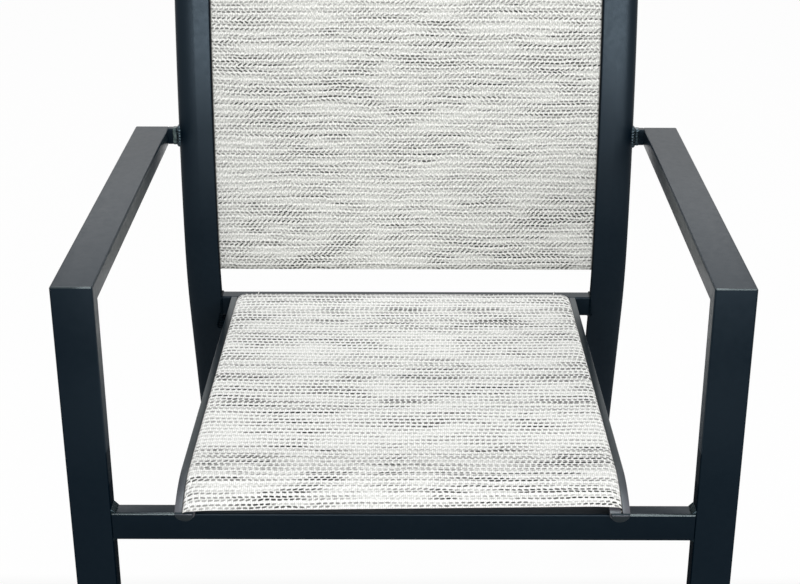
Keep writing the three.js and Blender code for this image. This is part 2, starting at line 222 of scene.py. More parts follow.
def walk(points, step):
    """Evenly spaced places along a line of points, each with the way it runs there."""
    lengths = [math.dist(a, b) for a, b in zip(points, points[1:])]
    count = max(4, round(sum(lengths) / step))
    places, passed, i = [], 0.0, 0
    for k in range(count + 1):
        wanted = sum(lengths) * k / count
        while i < len(lengths) - 1 and passed + lengths[i] < wanted:
            passed += lengths[i]
            i += 1
        a, b = Vector(points[i]), Vector(points[i + 1])
        places.append((a.lerp(b, (wanted - passed) / lengths[i]), (b - a).normalized()))
    return places


drops = random.Random(7)
ripple = 3.4 * mm
steps_per_ripple = 5
drop_sizes = (0.90, 1.08)
valley_size = 0.78


def weld(points, facing, size, fullness=2.0, proud=1.0):
    """A bead along a seam, rippled by each drop of metal; towards a fullness of 1 its face grows flat."""
    power = 2 / fullness
    round_ring = arc(0, 0, 1, 1, 0, 360, 16)[:-1]
    ring = [
        (proud * math.copysign(abs(x) ** power, x), math.copysign(abs(y) ** power, y)) for x, y in round_ring
    ]
    up = Vector(facing)
    stations, drop = [], 1.0
    for i, (point, along) in enumerate(walk(points, ripple / steps_per_ripple)):
        if i % steps_per_ripple == 0:
            drop = drops.uniform(*drop_sizes)
        crest = abs(math.sin(math.pi * i / steps_per_ripple))
        swell = size * drop * (valley_size + (1 - valley_size) * crest)
        place = Matrix((up.cross(along), up, along)).transposed().to_4x4()
        stations.append(Matrix.Translation(point) @ place @ Matrix.Scale(swell, 4))
    return sweep(ring, stations)


def seam(low, high, x, corner):
    """The line round a rounded rectangular tube where it meets a face at x, with a little overlap."""
    middle = Vector((x, (low.y + high.y) / 2, (low.z + high.z) / 2))
    loop = [middle + Vector((0, y, z)) for y, z in rounded(high.y - low.y, high.z - low.z, corner)]
    return loop + loop[:3]


def mirrored(bm):
    """The same piece for the other side of the chair."""
    copy = bm.copy()
    bmesh.ops.scale(copy, vec=(-1, 1, 1), verts=copy.verts)
    bmesh.ops.recalc_face_normals(copy, faces=copy.faces)
    return copy


def piece(name, bm, material, slot, *nodes, smooth=40):
    """Turns a bmesh into a finished piece that rides on the chair and stands for its CAD nodes."""
    mesh = bpy.data.meshes.new(name)
    bm.to_mesh(mesh)
    bm.free()
    mesh.polygons.foreach_set("use_smooth", [True] * len(mesh.polygons))
    mesh.set_sharp_from_angle(angle=math.radians(smooth))
    mesh.materials.append(material)
    obj = bpy.data.objects.new(name, mesh)
    scene.collection.objects.link(obj)
    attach(obj, "root")
    if nodes:
        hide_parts(*nodes)
    return obj


def pair(name, bm, material, slot, *nodes, smooth=40):
    """The right and the left piece from one bmesh drawn on the right side."""
    other = mirrored(bm)
    right = piece("right_" + name, bm, material, slot, *["right_" + n for n in nodes], smooth=smooth)
    left = piece("left_" + name, other, material, slot, *["left_" + n for n in nodes], smooth=smooth)
    return left, right


def cover_faces(obj, material, chosen):
    """Gives the chosen faces of a piece another cover."""
    number = len(obj.data.materials)
    obj.data.materials.append(material)
    for face in obj.data.polygons:
        if chosen(face):
            face.material_index = number


# Camera

camera_back = 1.3241
camera_side = 7.7 * mm
camera_above_arms = 0.5654
camera_pitch = math.radians(23.262)
camera_roll = math.radians(0.15)
focal_pixels = 1579.1
centre_offset = 12.1
photo_width = 800
sensor_width = 36


def make_camera():
    data = bpy.data.cameras.new("camera")
    data.sensor_width = sensor_width
    data.lens = focal_pixels / photo_width * sensor_width
    data.shift_x = -centre_offset / photo_width
    camera = bpy.data.objects.new("camera", data)
    scene.collection.objects.link(camera)
    place = shift(camera_side, front - camera_back, arm_top + camera_above_arms)
    tilt = Matrix.Rotation(math.pi / 2 - camera_pitch, 4, "X")
    camera.matrix_world = place @ tilt @ Matrix.Rotation(camera_roll, 4, "Z")
    scene.camera = camera


make_camera()


# Materials


class Nodes:
    """Short calls for building a material's node tree."""

    def __init__(self, name):
        self.material = bpy.data.materials.new(name)
        self.material.use_nodes = True
        self.tree = self.material.node_tree
        self.shader = self.tree.nodes["Principled BSDF"]

    def add(self, kind, **settings):
        node = self.tree.nodes.new("ShaderNode" + kind)
        for key, value in settings.items():
            setattr(node, key, value)
        return node

    def link(self, source, target):
        if isinstance(source, (int, float, tuple)):
            target.default_value = source
        else:
            self.tree.links.new(source, target)

    def set(self, **values):
        for key, value in values.items():
            self.shader.inputs[key.replace("_", " ")].default_value = value

    def maths(self, operation, *inputs, clamp=False):
        node = self.add("Math", operation=operation, use_clamp=clamp)
        for source, socket in zip(inputs, node.inputs):
            self.link(source, socket)
        return node.outputs[0]

    def place(self):
        return self.add("TexCoord").outputs["Object"]

    def noise(self, vector, scale, detail=2.0, rough=0.5):
        node = self.add("TexNoise")
        self.link(vector, node.inputs["Vector"])
        node.inputs["Scale"].default_value = scale
        node.inputs["Detail"].default_value = detail
        node.inputs["Roughness"].default_value = rough
        return node.outputs["Fac"]

    def range(self, value, low, high, to_low=0.0, to_high=1.0):
        node = self.add("MapRange")
        for source, socket in zip((value, low, high, to_low, to_high), node.inputs):
            self.link(source, socket)
        return node.outputs[0]

    def mix(self, share, first, second):
        node = self.add("Mix", data_type="RGBA")
        self.link(share, node.inputs[0])
        for source, socket in zip((first, second), [s for s in node.inputs if s.type == "RGBA"]):
            self.link((*source, 1) if isinstance(source, tuple) else source, socket)
        return [s for s in node.outputs if s.type == "RGBA"][0]

    def vector(self, x, y):
        node = self.add("CombineXYZ")
        self.link(x, node.inputs[0])
        self.link(y, node.inputs[1])
        return node.outputs[0]

    def cloth_noise(self, across, along, rate_across, rate_along, detail):
        """Noise on a cloth, which changes at its own rate each way."""
        across = self.maths("MULTIPLY", across, rate_across)
        return self.noise(self.vector(across, self.maths("MULTIPLY", along, rate_along)), 1, detail)

    def chance(self, vector):
        """A different number from 0 to 1 for each whole-number place."""
        node = self.add("TexWhiteNoise")
        self.link(vector, node.inputs["Vector"])
        return node.outputs["Value"]

    def join(self, source, name):
        self.link(source, self.shader.inputs[name])

    def bump(self, height, strength, distance):
        node = self.add("Bump")
        node.inputs["Strength"].default_value = strength
        node.inputs["Distance"].default_value = distance
        self.link(height, node.inputs["Height"])
        self.tree.links.new(node.outputs[0], self.shader.inputs["Normal"])


powder_blacks = ((0.0004, 0.0033, 0.0068), (0.0010, 0.0044, 0.0082))
dulling_depth = 130 * mm
# Where the painted sheen on the rails starts and where it is full, towards their front ends
painted_sheen_from = front + 190 * mm
painted_sheen_to = front - 5 * mm
cool_tint = (0.66, 0.84, 1.0)


def powder_coat(
    name, duller_below=0.0, dullness=0.0, shine=1.28, satin=(0.29, 0.35), tint=cool_tint, painted_sheen_front=None
):
    """Baked powder on the tubes: blue-black and satin, with a fine orange skin.

    It is duller near the ground, and on the rails its colour pales towards their front ends: a painted sheen
    where their bend catches the light.
    """
    n = Nodes(name)
    place = n.place()
    cloud = n.range(n.noise(place, 7, 3), 0.35, 0.65)
    colour = n.mix(cloud, *powder_blacks)
    parts = n.add("SeparateXYZ")
    n.link(place, parts.inputs[0])
    # Painted sheen: the colour pales towards the rails' front ends, where their bend catches the light
    if painted_sheen_front:
        share = n.maths("POWER", n.range(parts.outputs[1], painted_sheen_from, painted_sheen_to), 6)
        colour = n.mix(share, colour, painted_sheen_front)
    n.join(colour, "Base Color")
    skin = n.range(n.noise(place, 160, 3), 0.3, 0.7, *satin)
    dull = n.range(parts.outputs[2], duller_below, duller_below - dulling_depth, 0, dullness)
    n.join(n.maths("ADD", skin, dull), "Roughness")
    n.set(IOR=shine, Specular_Tint=(*tint, 1))
    n.bump(n.noise(place, 1100, 2), 0.15, 0.0002)
    return n.material


def weld_metal(name, thin, thick, grain=260, shine=1.32):
    """Coated weld bead: the same powder, smoother where it flowed, and pale where it lies thin; on the left
    stub's ring the pale colour is a painted highlight.
    """
    n = Nodes(name)
    place = n.place()
    n.join(n.mix(n.range(n.noise(place, grain, 2), 0.38, 0.62), thick, thin), "Base Color")
    n.set(Roughness=0.22, IOR=shine, Specular_Tint=(0.62, 0.84, 1.0, 1))
    n.bump(n.noise(place, 900, 2), 0.2, 0.0003)
    return n.material


def plug_plastic():
    """Moulded plastic of the plugs, caps and glides: a little greyer than the coat, with a fine grain."""
    n = Nodes("plug_plastic")
    place = n.place()
    colour = n.mix(n.range(n.noise(place, 60, 3), 0.3, 0.7), (0.013, 0.019, 0.023), (0.021, 0.028, 0.033))
    n.join(colour, "Base Color")
    n.join(n.range(n.noise(place, 400, 2), 0.3, 0.7, 0.36, 0.46), "Roughness")
    n.set(IOR=1.3, Specular_Tint=(*cool_tint, 1))
    n.bump(n.noise(place, 2500, 2), 0.25, 0.0001)
    return n.material


pair_pitch = 7.7 * mm
dash_pitch = 5.9 * mm
ribs_per_dash = 3
waver = 2.2 * mm
pulled_width = 12 * mm
slot_edge = (2.4 * mm, 0.4 * mm)
slot_shadow = (0.004, 0.004, 0.004)
# Painted shade: the colour that the seat's ground darkens towards near its front edge, where the lamps light
# it more
painted_front_shade = (0.3, 0.3, 0.29)

# Where the seat's rows change, measured along the cloth from its front edge

thinner_dashes = (100 * mm, 25 * mm)
fuller_rows = (90 * mm, 20 * mm)
shaded_ground = (120 * mm, 20 * mm)
greyer_yarn = (100 * mm, 20 * mm)


def dash_row(n, across, along, pair_number, row, yarn):
    """One of the two rows of grey yarn floats in a pair: its mask, fading in and out along the row.

    Each row reads its noise along a track of its own, so no two rows are alike.
    """
    middle = pair_pitch / 2 + (row - 0.5) * yarn["row_gap"]
    in_pair = n.maths("SUBTRACT", along, n.maths("MULTIPLY", pair_number, pair_pitch))
    level = n.maths("SUBTRACT", in_pair, middle)
    track = n.maths("MULTIPLY_ADD", pair_number, 7.3, 3.1 * row)

    def noise_on(track, rate, detail):
        return n.noise(n.vector(n.maths("MULTIPLY", across, rate), track), 1, detail)

    drift = noise_on(track, 22, 1)
    lean = noise_on(n.maths("ADD", track, 80), 18, 1)
    streak = noise_on(n.maths("ADD", track, 40), 15, 2)
    start = row / 2 if yarn["staggered"] else n.chance(n.vector(track, 9.5))
    phase = n.maths("MULTIPLY_ADD", across, 1 / dash_pitch, start)
    phase = n.maths("MULTIPLY_ADD", drift, yarn["drift"], phase)
    cell = n.maths("FLOOR", phase)
    chance = n.chance(n.vector(cell, track))

    offset = n.maths("MULTIPLY", n.maths("SUBTRACT", n.maths("SUBTRACT", phase, cell), 0.5), dash_pitch)
    reach = n.range(chance, 0, 1, 0.85 * yarn["reach"], 1.15 * yarn["reach"])
    slant = n.maths("MULTIPLY_ADD", offset, n.range(lean, 0.35, 0.65, *yarn["slants"]), level)
    thick = n.range(along, *thinner_dashes, yarn["thick"], yarn["thick_in_front"])
    length = n.maths("POWER", n.maths("DIVIDE", offset, reach), 4)
    depth = n.maths("POWER", n.maths("DIVIDE", slant, thick), 2)
    mask = n.range(n.maths("ADD", length, depth), 1.45, 0.8)

    strength = n.range(streak, 0.40, 0.52, yarn["faintest"], 1)
    strength = n.maths("MULTIPLY", strength, n.range(chance, 0, 1, 0.85, 1))
    whole_row = n.range(n.chance(n.vector(track, 5.5)), 0, 1, yarn["weakest_rows"][row], 1)
    if row:
        whole_row = n.maths("ADD", whole_row, n.range(along, *fuller_rows, 0, yarn["more_in_front"]))
    whole_row = n.maths("MINIMUM", n.maths("MAXIMUM", whole_row, 0), 1)
    return n.maths("MULTIPLY", n.maths("MULTIPLY", mask, strength), whole_row)


def cloth(name, yarn, mouth):
    """Woven sling: off-white ribs, with grey yarn floats in pairs of rows that come and go."""
    n = Nodes(name)
    parts = n.add("SeparateXYZ")
    n.link(n.add("UVMap", uv_map="weave").outputs[0], parts.inputs[0])
    across, along = parts.outputs[0], parts.outputs[1]
    wavering = n.cloth_noise(across, along, 60, 60, 2)
    wandering = n.cloth_noise(across, along, 9, 14, 1)
    along = n.maths("MULTIPLY_ADD", n.maths("SUBTRACT", wavering, 0.5), waver, along)
    along = n.maths("MULTIPLY_ADD", n.maths("SUBTRACT", wandering, 0.5), yarn["wander"], along)
    from_side = n.maths("SUBTRACT", mouth, n.maths("ABSOLUTE", across))
    pull = n.maths("POWER", n.range(from_side, pulled_width, 0), 1.6)
    along = n.maths("MULTIPLY_ADD", pull, yarn["side_droop"], along)

    pair_number = n.maths("FLOOR", n.maths("DIVIDE", along, pair_pitch))
    first, second = [dash_row(n, across, along, pair_number, row, yarn) for row in (0, 1)]
    patch = n.range(n.cloth_noise(across, along, 13, 24, 2), 0.4, 0.6, yarn["thin_patches"], 1.25)
    dark = n.maths("MULTIPLY", n.maths("MAXIMUM", first, second), patch, clamp=True)

    fibre = n.range(n.cloth_noise(across, along, 700, 420, 2), 0.34, 0.66)
    rib = n.maths("COSINE", n.maths("MULTIPLY", along, 2 * math.pi / pair_pitch))
    column = n.maths("COSINE", n.maths("MULTIPLY", across, 2 * math.pi * ribs_per_dash / dash_pitch))
    column = n.maths("MULTIPLY", column, yarn["columns"])
    light = n.maths("ADD", fibre, n.maths("MULTIPLY_ADD", rib, 0.2, column))

    ground = n.mix(n.range(light, -0.1, 1.1), *yarn["ground"])
    # Painted shade: the seat's ground darkens towards its front edge
    ground = n.mix(n.range(along, *shaded_ground, 0, yarn["shade_in_front"]), ground, painted_front_shade)
    grey = n.mix(n.range(along, *greyer_yarn), yarn["colour"], yarn["front_colour"])
    woven = n.mix(dark, ground, grey)
    n.join(n.mix(n.range(from_side, *slot_edge), woven, slot_shadow), "Base Color")
    relief = n.maths("MULTIPLY_ADD", light, 0.35, n.maths("MULTIPLY", rib, 0.25))
    n.bump(n.maths("MULTIPLY_ADD", dark, -0.6, relief), 0.35, 0.0004)
    n.set(Roughness=0.72, IOR=1.4)
    return n.material


def rod_plastic():
    """White plastic rods inside the slings' loops."""
    n = Nodes("rod_plastic")
    place = n.place()
    n.join(n.mix(n.noise(place, 40, 2), (0.60, 0.60, 0.57), (0.70, 0.70, 0.67)), "Base Color")
    n.set(Roughness=0.45)
    return n.material


coat = powder_coat("powder_coat")
post_coat = powder_coat("powder_coat_on_posts", duller_below=0.57, dullness=0.5, shine=1.27)
upright_coat = powder_coat("powder_coat_on_uprights", duller_below=0.64, dullness=0.5, shine=1.32)
# Painted shade: a dull, weakly reflecting copy of the coat for the uprights' slotted inner faces, which lie
# in shadow
slot_shade_coat = powder_coat("powder_coat_painted_slot_shade", duller_below=2.0, dullness=0.6, shine=1.08)
# Painted shade: less reflective copies of the coat for the legs' inner faces low down, which face the shadow
# under the seat
low_shade_coat = powder_coat("powder_coat_painted_shade_low_inside", duller_below=0.57, dullness=0.5, shine=1.16)
lowest_shade_coat = powder_coat("powder_coat_painted_shade_lowest_inside", duller_below=0.57, dullness=0.5, shine=1.07)
# Painted highlight: a copy of the coat that reflects more strongly and sharply, for the bright line along
# rounded front edges
edge_highlight_coat = powder_coat("powder_coat_with_painted_edge_highlight", shine=1.72, satin=(0.12, 0.16), tint=(0.78, 0.92, 0.95))
# The rails' coat carries a painted sheen: its colour pales towards their front ends
rail_coat = powder_coat(
    "powder_coat_on_rails", shine=1.47, tint=(0.72, 0.88, 0.9), painted_sheen_front=(0.08, 0.079, 0.092)
)
# Painted sheen: a more reflective copy of the coat for the faces of arms and legs that look at the seat
inner_sheen_coat = powder_coat("powder_coat_painted_sheen_inside", duller_below=0.595, dullness=0.5, shine=1.42)
# Painted sheen: a more reflective copy of the coat for the front bar's top under the seat cloth
underseat_sheen_coat = powder_coat("powder_coat_painted_sheen_under_seat", shine=1.62, tint=(0.82, 0.88, 0.98))
# Painted highlight: a strongly reflecting copy of the coat for the light line on the rail caps' front
cap_highlight_coat = powder_coat("powder_coat_painted_cap_highlight", shine=1.9, tint=(0.88, 0.88, 0.98))

thick_powder = (0.0016, 0.0050, 0.0068)
weld_coat = weld_metal("weld_bead", (0.0035, 0.0085, 0.0095), thick_powder)
dark_weld_coat = weld_metal("shaded_weld", (0.0012, 0.0045, 0.0075), (0.0004, 0.0028, 0.0055), shine=1.12)
ripple_coat = weld_metal("rippled_weld", (0.010, 0.018, 0.020), thick_powder, grain=330, shine=1.62)
# Painted highlight: pale grey-green patches in the colour of the left stub's ring, where its ripples catch
# the light
highlight_painted_weld_coat = weld_metal("weld_with_painted_highlight", (0.105, 0.140, 0.135), (0.006, 0.013, 0.015), grain=130)
plastic = plug_plastic()

back_yarn = {
    "ground": ((0.40, 0.405, 0.38), (0.89, 0.89, 0.86)),
    "colour": (0.036, 0.037, 0.034),
    "front_colour": (0.036, 0.037, 0.034),
    "shade_in_front": 0,
    "row_gap": 3.5 * mm,
    "thick": 0.97 * mm,
    "thick_in_front": 0.97 * mm,
    "reach": 2.1 * mm,
    "slants": (-0.4, 0.65),
    "drift": 0.5,
    "wander": 7 * mm,
    "side_droop": 0,
    "staggered": True,
    "faintest": 0.25,
    "weakest_rows": (0.65, 0.55),
    "more_in_front": 0,
    "thin_patches": 0.7,
    "columns": 0.15,
}
seat_yarn = {
    "ground": ((0.60, 0.605, 0.58), (0.98, 0.98, 0.965)),
    "colour": (0.004, 0.004, 0.004),
    "front_colour": (0.022, 0.022, 0.021),
    "shade_in_front": 0.19,
    "row_gap": 3.1 * mm,
    "thick": 1.6 * mm,
    "thick_in_front": 0.9 * mm,
    "reach": 2.1 * mm,
    "slants": (-0.15, 0.25),
    "drift": 0.45,
    "wander": 5 * mm,
    "side_droop": 5 * mm,
    "staggered": False,
    "faintest": 0.3,
    "weakest_rows": (0.6, -0.7),
    "more_in_front": 0.6,
    "thin_patches": 0.62,
    "columns": 0.3,
}
back_weave = cloth("woven_back", back_yarn, back_mouth)
seat_weave = cloth("woven_seat", seat_yarn, seat_mouth)
rod = rod_plastic()


# Arms and front legs


lowest_inside = 0.432
low_inside = 0.468
tube_corner = 2 * mm
outer_mitre_round = 1.1 * mm
inner_mitre_round = 0.8 * mm
mitre_edge_reach = 2.5 * mm
plug_round = 0.9 * mm
foot_round = 1 * mm
tube_middle = (arm_inner + arm_outer) / 2
tube_outline = rounded(arm_outer - arm_inner, tube_thickness, tube_corner)


def arm_and_leg():
    """One tube shape that goes up the leg, turns at the mitre and runs back along the arm."""
    outline = [(x + tube_middle, y + tube_thickness / 2) for x, y in tube_outline]
    bm = bmesh.new()
    edges = start_outline(bm, outline, shift(0, front, leg_low.z))[1]
    close_end(bm, edges)
    below = leg_low.z
    for height in (lowest_inside, low_inside):
        edges = extend(bm, edges, shift(z=height - below))
        below = height
    rise = Matrix.Identity(4)
    rise[2][1], rise[2][3] = -1, arm_top - below + front
    mitre = extend(bm, edges, rise)
    run = Matrix.Identity(4)
    run[1][1], run[1][3] = 0, arm_high.y
    close_end(bm, extend(bm, mitre, run))
    bmesh.ops.recalc_face_normals(bm, faces=bm.faces)
    outer = [e for e in mitre if max(v.co.y for v in e.verts) < front + tube_corner / 2]
    inner = [e for e in mitre if min(v.co.y for v in e.verts) > front + tube_thickness - tube_corner / 2]
    soften(bm, outer, outer_mitre_round)
    soften(bm, inner, inner_mitre_round)
    return bm


def end_plug():
    """The flange that closes an arm's rear end."""
    bm = sweep(tube_outline, [station(y, arm_middle, 0) for y in (arm_high.y + gap / 2, end_plug_rear)])
    bmesh.ops.translate(bm, vec=(tube_middle, 0, 0), verts=bm.verts)
    soften(bm, [e for e in bm.edges if all(v.co.y > end_plug_rear - near for v in e.verts)], plug_round)
    return bm


def on_floor(edge):
    return all(v.co.z < near for v in edge.verts)


def front_foot():
    """The plastic end of a front leg, up to the tube's lower edge."""
    place = shift(tube_middle, front + tube_thickness / 2)
    bm = sweep(tube_outline, [place, place @ shift(z=leg_low.z - gap / 2)])
    soften(bm, [e for e in bm.edges if on_floor(e)], foot_round)
    return bm


def on_front_edge(face):
    """Whether a face slants forward and up, as on a rounded front edge."""
    return face.normal.z > 0.2 and face.normal.y < -0.2


def on_mitre_edge(face):
    at_edge = face.center.z > arm_top - mitre_edge_reach and face.center.y < front + mitre_edge_reach
    return at_edge and on_front_edge(face)


def leg_inside(face, height):
    """Whether a face of a leg or arm looks at the seat and lies below a height."""
    return face.normal.x * face.center.x < -0.5 * abs(face.center.x) and face.center.z < height


for side_frame in pair("arm_and_leg", arm_and_leg(), post_coat, "powder_coat", "arm", "front_leg"):
    # Painted highlight on the mitre's rounded front edge
    cover_faces(side_frame, edge_highlight_coat, on_mitre_edge)
    # Painted sheen on the faces that look at the seat
    cover_faces(side_frame, inner_sheen_coat, lambda face: leg_inside(face, arm_top))
    # Painted shade on the legs' inner faces low down, darker still near the floor
    cover_faces(side_frame, low_shade_coat, lambda face: leg_inside(face, low_inside))
    cover_faces(side_frame, lowest_shade_coat, lambda face: leg_inside(face, lowest_inside))
pair("arm_plug", end_plug(), plastic, "plastic", "arm_end_plug")
pair("front_glide", front_foot(), plastic, "plastic", "front_foot")


# Uprights


def upright_lean(height):
    """How far the upright's curve stands behind its foremost point, and its lean there."""
    if height >= bend_height:
        lean = math.asin((min(height, recline_start) - bend_height) / bend_radius)
        straight = max(height - recline_start, 0)
        return bend_radius * (1 - math.cos(lean)) + straight * math.tan(lean), lean
    lean = math.asin((bend_height - max(height, splay_start)) / leg_bend_radius)
    straight = max(splay_start - height, 0)
    return leg_bend_radius * (1 - math.cos(lean)) + straight * math.tan(lean), -lean


upright_front = (stub_low.y + stub_high.y) / 2 - upright_lean(arm_middle)[0]


def upright_station(height):
    back, lean = upright_lean(height)
    return station(upright_front + back, height, math.pi / 2 - lean)


def upright_stations(low, high, step=9 * mm):
    """Stations close together in the bends and far apart on the straights."""
    heights = [low]
    while heights[-1] < high - near:
        h = heights[-1]
        if h < splay_start - near:
            heights.append(min(splay_start, high))
        elif h > recline_start:
            heights.append(high)
        else:
            heights.append(min(h + step, high))
    return [upright_station(h) for h in heights]


def inward(outline, centre):
    """A section drawn with x inward, set at its place on the right side."""
    return [(centre - x, y) for x, y in outline]


def upright_nose():
    """The outer side of the upright: nearly flat front and back, turning quickly at the outer edge."""
    middle = nose_length - upright_half
    power = 2 / nose_squareness
    return [
        (middle - nose_length * abs(x) ** power, math.copysign(belly_half * abs(y) ** power, y))
        for x, y in arc(0, 0, 1, 1, 90, 270, 64)
    ]


def upright_edge(side):
    """A rounded edge of the upright's flat inner face: the front one at 1, the rear one at -1."""
    start = -90 if side < 0 else 0
    radius = upright_corner
    return arc(upright_half - radius, side * (face_half - radius), radius, radius, start, start + 90, 6)


def upright_outline():
    mouth = math.degrees(math.asin(slot_half / channel_radius))
    return (
        upright_edge(-1)
        + [(upright_half, -slot_half)]
        + arc(upright_half - channel_depth, 0, channel_radius, channel_radius, -mouth, mouth - 360, 24)
        + [(upright_half, slot_half)]
        + upright_edge(1)
        + upright_nose()
    )


def upright_blank():
    """The upright's section without its slot, as its cap and its foot have it."""
    return upright_edge(-1) + upright_edge(1) + upright_nose()


def upright():
    """The whole post: cut level at its lower end, bent at the knee and gently all along the back."""
    stations = upright_stations(upright_low.z, upright_top)
    bm = bmesh.new()
    verts, edges = start_outline(bm, inward(upright_outline(), upright_centre), stations[0])
    along = stations[0].col[2].xyz
    for v in verts:
        v.co += along * ((upright_low.z - v.co.z) / along.z)
    close_end(bm, edges)
    for i, (before, after) in enumerate(zip(stations, stations[1:])):
        edges = extend(bm, edges, after @ before.inverted())
        if i == 0:
            for v in {v for e in edges for v in e.verts}:
                local = after.inverted() @ v.co
                v.co = after @ Vector((local.x, local.y, 0))
    close_end(bm, edges)
    bmesh.ops.recalc_face_normals(bm, faces=bm.faces)
    return bm


upright_cap_height = 3.3 * mm
upright_cap_round = 1.2 * mm


def upright_cap():
    top = upright_station(upright_top)
    outline = inward(upright_blank(), upright_centre)
    bm = sweep(outline, [top @ shift(z=gap / 2), top @ shift(z=upright_cap_height)])
    just_under = upright_cap_height - near
    high = [e for e in bm.edges if all((top.inverted() @ v.co).z > just_under for v in e.verts)]
    soften(bm, high, upright_cap_round)
    return bm


def rear_foot():
    """A level slice of the leg's section, because the leg meets the floor at a slant."""
    y = upright_station(upright_low.z).translation.y
    outline = [(upright_centre - x, n / math.cos(splay)) for x, n in upright_blank()]
    bm = sweep(outline, [shift(0, y, 0), shift(0, y, upright_low.z - gap / 2)])
    soften(bm, [e for e in bm.edges if on_floor(e)], foot_round)
    return bm


def faces_inward(face):
    """Whether a face is part of the flat side that carries the slot."""
    return abs(face.normal.x) > 0.9 and abs(face.center.x) < upright_low.x + 2 * near


for post in pair("upright", upright(), upright_coat, "powder_coat", "back_upright", smooth=30):
    # Painted shade on the flat inner face that carries the slot
    cover_faces(post, slot_shade_coat, faces_inward)
pair("upright_cap", upright_cap(), plastic, "plastic", "upright_top_cap")
pair("rear_glide", rear_foot(), plastic, "plastic", "rear_foot")


# Stubs between the arms and the uprights


stub_thinned = 4.5 * mm
stub_overlap = 6 * mm
stub_corner = 1.4 * mm
stub_weld = 3.5 * mm
stub_weld_sunk = 0.4 * mm
ring_from_arm = 7.8 * mm
ring_size = 2.4 * mm
ring_proud = 0.3
stub_from = Vector((upright_high.x - stub_overlap, stub_low.y + stub_thinned, stub_low.z))
stub_to = Vector((arm_inner, stub_high.y, arm_top))


def stub_seam(x):
    return seam(stub_from, stub_to, x, stub_corner)


def stub_ring():
    """The flat ripple round the middle of the stub, where the arm's end was closed."""
    return weld(stub_seam(arm_inner - ring_from_arm), (1, 0, 0), ring_size, proud=ring_proud)


pair("stub", bar(stub_from, stub_to, stub_corner), coat, "powder_coat", "arm_stub")
# The left ring's highlight is painted into its colour
piece("left_stub_ring", mirrored(stub_ring()), highlight_painted_weld_coat, "powder_coat", smooth=60)
piece("right_stub_ring", stub_ring(), ripple_coat, "powder_coat", smooth=60)
stub_to_upright = weld(stub_seam(upright_high.x - stub_weld_sunk), (1, 0, 0), stub_weld)
pair("stub_weld", stub_to_upright, ripple_coat, "powder_coat", smooth=60)


# Crossbars


bar_corner = 2.2 * mm
flat_fullness = 1.1
corner_fullness = 1.4
fill_fullness = 1.3
front_weld_above = 5.0 * mm
front_weld_below = 2.2 * mm
front_weld_behind = 2.4 * mm
front_weld_trim = 0.8 * mm
rear_weld = 1.6 * mm
rear_weld_below = 4 * mm
rear_weld_trim = 2.5 * mm
top_weld = 2.6 * mm
corner_fill_from = 2 * mm
corner_fill_length = 20 * mm
corner_fill_size = 9 * mm

front_bar_shape = bar(front_bar_low, front_bar_high, bar_corner, between=(-rail_centre, rail_centre))
front_bar = piece("front_bar", front_bar_shape, coat, "powder_coat", "front_crossbar")
# Painted highlight along the bar's rounded front edge, outside the seat rails
cover_faces(front_bar, edge_highlight_coat, lambda face: on_front_edge(face) and abs(face.center.x) > rail_centre)
# Painted sheen on the bar's top under the seat cloth
cover_faces(front_bar, underseat_sheen_coat, lambda face: face.normal.z > 0.9 and abs(face.center.x) < rail_centre)
piece("rear_bar", bar(rear_bar_low, rear_bar_high, bar_corner), coat, "powder_coat", "rear_crossbar")
piece("top_bar", bar(top_bar_low, top_bar_high, bar_corner), coat, "powder_coat", "top_crossbar")


def fillet(low, high, x, z, trim, size, fullness):
    """A straight fillet along the joint of a bar's flat side with what stands at x."""
    return weld([(x, low.y + trim, z), (x, high.y - trim, z)], (0, 0, 1), size, fullness)


def front_bar_welds():
    """Flat fillets in the corners above and below the bar, and a bead down its back."""
    low, high, x = front_bar_low, front_bar_high, arm_inner
    above = fillet(low, high, x, high.z, front_weld_trim, front_weld_above, flat_fullness)
    below = fillet(low, high, x, low.z, front_weld_trim, front_weld_below, flat_fullness)
    behind = weld([(x, high.y, low.z), (x, high.y, high.z)], (0, 1, 0), front_weld_behind)
    return joined(above, below, behind)


def rear_bar_welds():
    """A bead round the bar's end and a thick run of weld in the corner under it."""
    low, high, x = rear_bar_low, rear_bar_high, upright_low.x
    below = fillet(low, high, x, low.z, rear_weld_trim, rear_weld_below, corner_fullness)
    return joined(weld(seam(low, high, x, bar_corner), (1, 0, 0), rear_weld), below)


def left_rear_bar_welds():
    """The same welds, and metal that fills the narrow corner between the left upright and its rail."""
    x, y, z = upright_low.x, (rear_bar_low.y + rear_bar_high.y) / 2, rear_bar_low.z
    line = [(x, y, z + corner_fill_from), (x, y, z - corner_fill_length)]
    fill = weld(line, (0, 1, 0), corner_fill_size, fill_fullness)
    return joined(rear_bar_welds(), fill)


def top_bar_welds():
    return weld(seam(top_bar_low, top_bar_high, upright_low.x, bar_corner), (1, 0, 0), top_weld)


pair("front_bar_welds", front_bar_welds(), weld_coat, "powder_coat", smooth=60)
piece("right_rear_bar_welds", rear_bar_welds(), dark_weld_coat, "powder_coat", smooth=60)
piece("left_rear_bar_welds", mirrored(left_rear_bar_welds()), dark_weld_coat, "powder_coat", smooth=60)
pair("top_bar_welds", top_bar_welds(), weld_coat, "powder_coat", smooth=60)


# Seat rails


rail_edge = 0.5 * mm
cap_inset = 0.9 * mm
cap_shallower = 1.2 * mm
cap_offset = 0.7 * mm
cap_edge = 0.6 * mm
cap_length = 2.8 * mm
cap_round = 1.2 * mm
belly_weld = 1.9 * mm
side_weld = 2.2 * mm
side_weld_from_middle = 6 * mm
side_weld_trim = 2 * mm


